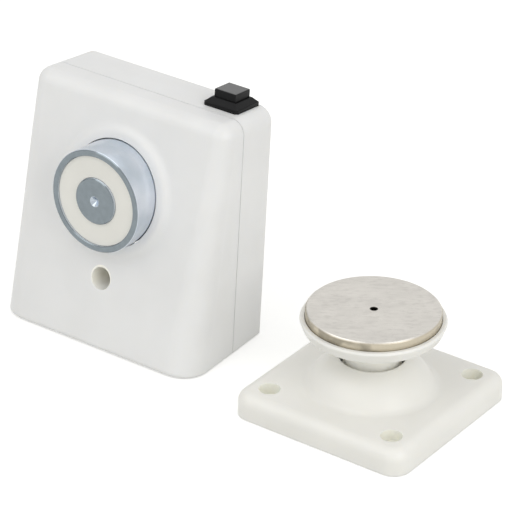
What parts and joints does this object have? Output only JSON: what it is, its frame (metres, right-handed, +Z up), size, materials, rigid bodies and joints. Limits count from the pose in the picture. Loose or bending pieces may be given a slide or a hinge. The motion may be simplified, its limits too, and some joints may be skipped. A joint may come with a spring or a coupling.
{
  "type": "electromagnetic door holder",
  "caption": "Electromagnetic door holder: wall unit with a projecting pot magnet and a release button on top, and a swivelling keeper with a round armature plate on a square base.",
  "frame": {"origin": "middle of the wall unit's base face, which stands on the ground at Z = 0", "axes": "+X from the wall unit to the keeper, +Y towards the back of the wall unit, +Z up"},
  "size_m": [0.1923, 0.0746, 0.102],
  "materials": {
    "housing_white": "satin moulded",
    "zinc_steel": "bright zinc plate",
    "bobbin_cream": "satin moulded",
    "winding_copper": "enamelled wire",
    "screw_steel": "zinc plate",
    "board_green": "lacquered laminate",
    "terminal_grey": "satin moulded",
    "diode_black": "moulded",
    "switch_black": "satin moulded",
    "contact_brass": "bright",
    "spring_steel": "bright drawn",
    "lead_red": "soft sheath",
    "lead_black": "soft sheath",
    "keeper_white": "satin moulded",
    "swivel_ivory": "satin moulded",
    "bush_grey": "satin moulded",
    "armature_nickel": "nickel plate"
  },
  "bodies": {
    "fixed_parts": {"front_cover": "housing_white", "rear_case": "housing_white", "magnet_pot": "zinc_steel", "magnet_core": "zinc_steel", "coil_bobbin": "bobbin_cream", "coil_winding": "winding_copper", "core_screw": "screw_steel", "core_washer": "screw_steel", "cover_screw": "screw_steel", "circuit_board": "board_green", "board_screws": "screw_steel", "terminal_block": "terminal_grey", "terminal_screws": "screw_steel", "suppressor_diode": "diode_black", "switch_body": "switch_black", "switch_terminals": "contact_brass", "button_spring": "spring_steel", "coil_lead_board": "lead_red", "coil_lead_switch": "lead_black", "switch_lead_board": "lead_black", "keeper_base": "keeper_white", "ball_retainer": "bush_grey", "retainer_screws": "screw_steel"},
    "button": {"release_button": "switch_black", "contact_bridge": "contact_brass"},
    "bush": {"swivel_bush": "bush_grey"},
    "ball": {"swivel_ball": "swivel_ivory"},
    "head": {"keeper_cup": "keeper_white", "armature_plate": "armature_nickel", "armature_screw": "screw_steel", "armature_washer": "screw_steel"}
  },
  "joints": [
    {"name": "button_press", "type": "slide", "parent": "fixed_parts", "child": "button", "axis": [0, -0.0958, -0.9954], "range_m": [0, 0.0025], "stiffness_N_per_m": 800, "deforming": ["button_spring"]},
    {"name": "keeper_tilt_x", "type": "hinge", "parent": "fixed_parts", "child": "bush", "pos_m": [0.1085, 0.0058, 0.011], "axis": [1, 0, 0], "range_deg": [-6, 6]},
    {"name": "keeper_tilt_y", "type": "hinge", "parent": "bush", "child": "ball", "pos_m": [0.1085, 0.0058, 0.011], "axis": [0, 1, 0], "range_deg": [-6, 6]},
    {"name": "keeper_spin", "type": "hinge", "parent": "ball", "child": "head", "pos_m": [0.1085, 0.0058, 0.011], "axis": [0, 0, 1], "continuous": true}
  ]
}
